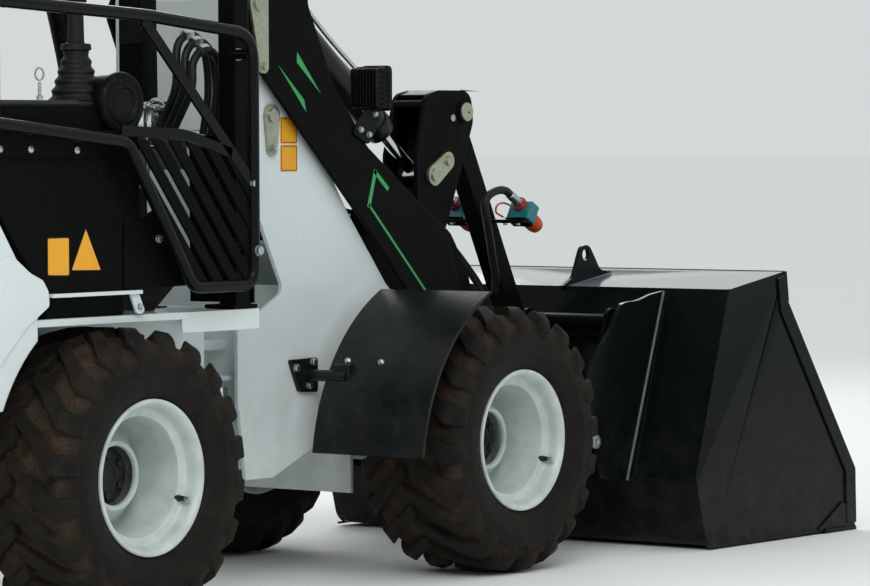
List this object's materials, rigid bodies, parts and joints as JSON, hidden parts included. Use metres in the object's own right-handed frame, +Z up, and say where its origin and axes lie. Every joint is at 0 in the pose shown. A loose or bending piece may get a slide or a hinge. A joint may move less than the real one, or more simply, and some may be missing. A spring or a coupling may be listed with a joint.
{
  "type": "compact articulated wheel loader",
  "caption": "Small battery wheel loader hinged at its middle, with open canopy, mast and boom, tilt linkage and a light goods bucket.",
  "frame": {"origin": "centre of the bounding box on the ground, under the middle of the whole machine", "axes": "+X forwards towards the bucket, +Y to the operator's left, +Z up"},
  "size_m": [3.471, 1.208, 2.1],
  "materials": {
    "white_paint": "gloss powder coat",
    "black_paint": "semi gloss powder coat",
    "grey_paint": "semi gloss paint",
    "zinc_steel": "zinc plated",
    "chrome_rod": "hard chrome",
    "tyre_rubber": "matt rubber",
    "black_plastic": "moulded",
    "seat_vinyl": "coated seat cloth",
    "red_lens": "clear red",
    "teal_paint": "gloss paint"
  },
  "bodies": {
    "rear_frame": {"rear_chassis": "white_paint", "operator_floor": "white_paint", "rear_hood": "white_paint", "battery_pack": "black_paint", "counterweight": "black_paint", "side_consoles": "black_paint", "joystick": "black_plastic", "seat_base": "black_paint", "seat_cushion": "seat_vinyl", "seat_back": "seat_vinyl", "steering_column": "black_plastic", "control_valve": "zinc_steel", "pedals": "black_plastic", "canopy_frame": "black_paint", "canopy_roof": "black_paint", "side_guards": "black_paint", "tail_lamps": "red_lens"},
    "front_frame": {"mast": "white_paint", "front_axle_beam": "white_paint", "mudguards": "black_paint", "mast_pin_locks": "zinc_steel"},
    "boom": {"boom": "black_paint", "boom_pin_locks": "zinc_steel", "work_lamps": "black_plastic"},
    "bell_crank": {"bell_crank": "black_paint", "bell_crank_locks": "zinc_steel"},
    "tilt_link": {"tilt_link": "black_paint", "coupler_blocks": "teal_paint"},
    "bucket": {"quick_coupler": "black_paint", "bucket": "black_paint"},
    "lift_barrel": {"lift_barrel": "grey_paint"},
    "lift_rod": {"lift_rod": "chrome_rod"},
    "tilt_barrel": {"tilt_barrel": "grey_paint"},
    "tilt_rod": {"tilt_rod": "chrome_rod"},
    "steer_barrel": {"steer_barrel": "grey_paint"},
    "steer_rod": {"steer_rod": "chrome_rod"},
    "wheel_front_right": {"tyre_front_right": "tyre_rubber", "rim_front_right": "white_paint"},
    "wheel_front_left": {"tyre_front_left": "tyre_rubber", "rim_front_left": "white_paint"},
    "wheel_rear_right": {"tyre_rear_right": "tyre_rubber", "rim_rear_right": "white_paint"},
    "wheel_rear_left": {"tyre_rear_left": "tyre_rubber", "rim_rear_left": "white_paint"}
  },
  "joints": [
    {"name": "articulation", "type": "hinge", "parent": "rear_frame", "child": "front_frame", "pos_m": [-0.3605, 0, 0.45], "axis": [0, 0, 1], "range_deg": [-40, 40]},
    {"name": "boom_lift", "type": "hinge", "parent": "front_frame", "child": "boom", "pos_m": [-0.2785, 0, 1.366], "axis": [0, -1, 0], "range_deg": [0, 75]},
    {"name": "bucket_tilt", "type": "hinge", "parent": "boom", "child": "bucket", "pos_m": [0.8945, 0, 0.22], "axis": [0, -1, 0], "range_deg": [-95, 25]},
    {"name": "bell_crank_turn", "type": "hinge", "parent": "boom", "child": "bell_crank", "pos_m": [0.5645, 0, 0.76], "axis": [0, -1, 0], "range_deg": [-85.33, 22.68]},
    {"name": "tilt_link_turn", "type": "hinge", "parent": "bell_crank", "child": "tilt_link", "pos_m": [0.7295, 0, 1.115], "axis": [0, -1, 0], "range_deg": [-23.18, 87.22]},
    {"name": "tilt_rod_turn", "type": "hinge", "parent": "bell_crank", "child": "tilt_rod", "pos_m": [0.5975, 0, 0.956], "axis": [0, -1, 0], "range_deg": [-22.3, 83.9]},
    {"name": "tilt_barrel_slide", "type": "slide", "parent": "tilt_rod", "child": "tilt_barrel", "axis": [-0.7957, 0, 0.6057], "range_m": [-0.0685, 0.2575]},
    {"name": "lift_barrel_turn", "type": "hinge", "parent": "front_frame", "child": "lift_barrel", "pos_m": [-0.1955, 0, 1.103], "axis": [0, -1, 0], "range_deg": [0, 79.62]},
    {"name": "lift_rod_slide", "type": "slide", "parent": "lift_barrel", "child": "lift_rod", "axis": [0.8505, 0, -0.5259], "range_m": [0, 0.3323]},
    {"name": "steer_barrel_turn", "type": "hinge", "parent": "rear_frame", "child": "steer_barrel", "pos_m": [-0.7355, -0.11, 0.45], "axis": [0, 0, 1], "range_deg": [-5, 5]},
    {"name": "steer_rod_slide", "type": "slide", "parent": "steer_barrel", "child": "steer_rod", "axis": [1, 0, 0], "range_m": [-0.074, 0.074]},
    {"name": "wheel_front_right_roll", "type": "hinge", "parent": "front_frame", "child": "wheel_front_right", "pos_m": [0.3145, -0.414, 0.322], "axis": [0, 1, 0], "continuous": true},
    {"name": "wheel_front_left_roll", "type": "hinge", "parent": "front_frame", "child": "wheel_front_left", "pos_m": [0.3145, 0.414, 0.322], "axis": [0, 1, 0], "continuous": true},
    {"name": "wheel_rear_right_roll", "type": "hinge", "parent": "rear_frame", "child": "wheel_rear_right", "pos_m": [-1.0355, -0.414, 0.322], "axis": [0, 1, 0], "continuous": true},
    {"name": "wheel_rear_left_roll", "type": "hinge", "parent": "rear_frame", "child": "wheel_rear_left", "pos_m": [-1.0355, 0.414, 0.322], "axis": [0, 1, 0], "continuous": true}
  ],
  "couplings": [
    {"joint": "bell_crank_turn", "follows": "bucket_tilt", "ratio": 0.895},
    {"joint": "tilt_link_turn", "follows": "bucket_tilt", "ratio": -0.915},
    {"joint": "tilt_rod_turn", "follows": "bucket_tilt", "ratio": -0.88},
    {"joint": "tilt_barrel_slide", "follows": "bucket_tilt", "m_per_rad": -0.1547},
    {"joint": "lift_barrel_turn", "follows": "boom_lift", "ratio": 1.0576},
    {"joint": "lift_rod_slide", "follows": "boom_lift", "m_per_rad": 0.25311},
    {"joint": "steer_barrel_turn", "follows": "articulation", "ratio": 0.11},
    {"joint": "steer_rod_slide", "follows": "articulation", "m_per_rad": 0.1043}
  ]
}
